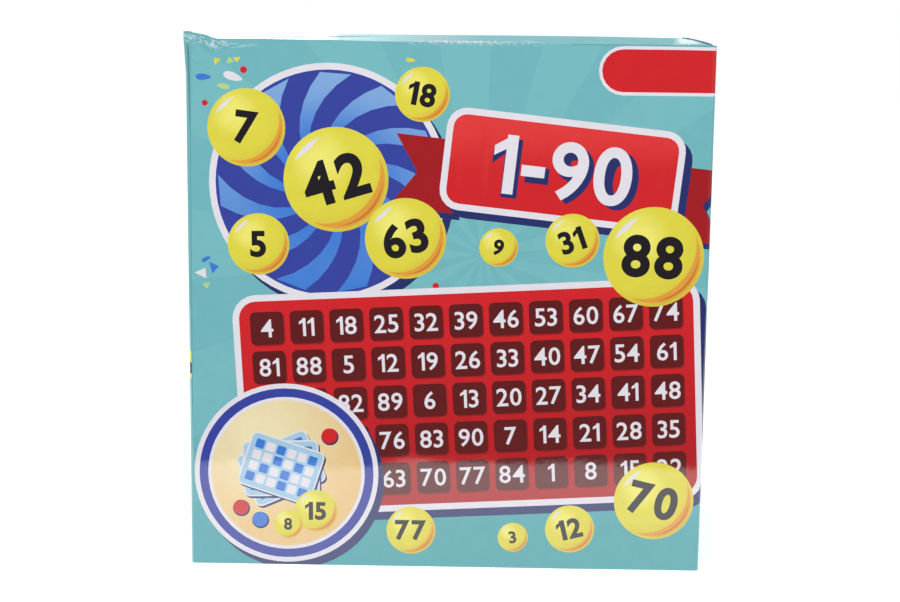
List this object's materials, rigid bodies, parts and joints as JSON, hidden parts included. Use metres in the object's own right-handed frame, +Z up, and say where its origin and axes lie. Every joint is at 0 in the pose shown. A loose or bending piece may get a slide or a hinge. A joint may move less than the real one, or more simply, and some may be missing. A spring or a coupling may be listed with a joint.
{
  "type": "boxed bingo set",
  "caption": "Printed tuck-top carton of a bingo set, with its lid and dust flaps on creases and the number board, cranked ball cage, balls and cards packed inside.",
  "frame": {"origin": "bottom centre of the carton, on the surface it stands on", "axes": "+Z up; the printed front panel faces -Y; the lid's hinge crease is at the back, towards +Y; +X is to the right as seen from the front"},
  "size_m": [0.27, 0.16, 0.276],
  "materials": {
    "printed_board": "gloss",
    "raw_board": "matte",
    "red_plastic": "gloss",
    "black_plastic": "satin",
    "blue_plastic": "gloss",
    "yellow_plastic": "gloss",
    "steel": "satin",
    "card": "satin",
    "paper": "matte"
  },
  "bodies": {
    "carton": {"front_panel": "printed_board", "back_panel": "printed_board", "left_panel": "printed_board", "right_panel": "printed_board", "glue_flap": "raw_board", "bottom_front_flap": "printed_board", "bottom_back_flap": "raw_board", "bottom_left_flap": "raw_board", "bottom_right_flap": "raw_board", "number_board": "red_plastic", "ball_chute": "black_plastic", "left_upright": "black_plastic", "right_upright": "black_plastic", "number_balls": "yellow_plastic", "bingo_cards": "card", "rules_leaflet": "paper", "marker_chips": "red_plastic"},
    "lid": {"top_lid": "printed_board", "lid_tongue": "printed_board"},
    "left_flap": {"left_dust_flap": "printed_board"},
    "right_flap": {"right_dust_flap": "printed_board"},
    "cage": {"cage_left_half": "blue_plastic", "cage_right_half": "blue_plastic", "ball_outlet": "black_plastic", "left_axle": "steel", "right_axle": "steel", "crank_arm": "black_plastic", "knob_pin": "steel"},
    "knob": {"crank_knob": "yellow_plastic"}
  },
  "joints": [
    {"name": "lid_hinge", "type": "hinge", "parent": "carton", "child": "lid", "pos_m": [0, 0.08, 0.2745], "axis": [-1, 0, 0], "range_deg": [0, 200]},
    {"name": "left_flap_hinge", "type": "hinge", "parent": "carton", "child": "left_flap", "pos_m": [-0.135, 0, 0.2727], "axis": [0, -1, 0], "range_deg": [0, 100]},
    {"name": "right_flap_hinge", "type": "hinge", "parent": "carton", "child": "right_flap", "pos_m": [0.135, 0, 0.2727], "axis": [0, 1, 0], "range_deg": [0, 100]},
    {"name": "cage_spin", "type": "hinge", "parent": "carton", "child": "cage", "pos_m": [0, -0.003, 0.1995], "axis": [1, 0, 0], "continuous": true},
    {"name": "knob_spin", "type": "hinge", "parent": "cage", "child": "knob", "pos_m": [0.084, -0.003, 0.1695], "axis": [1, 0, 0], "continuous": true}
  ],
  "couplings": [
    {"joint": "left_flap_hinge", "follows": "lid_hinge", "ratio": 0.5},
    {"joint": "right_flap_hinge", "follows": "lid_hinge", "ratio": 0.5}
  ]
}
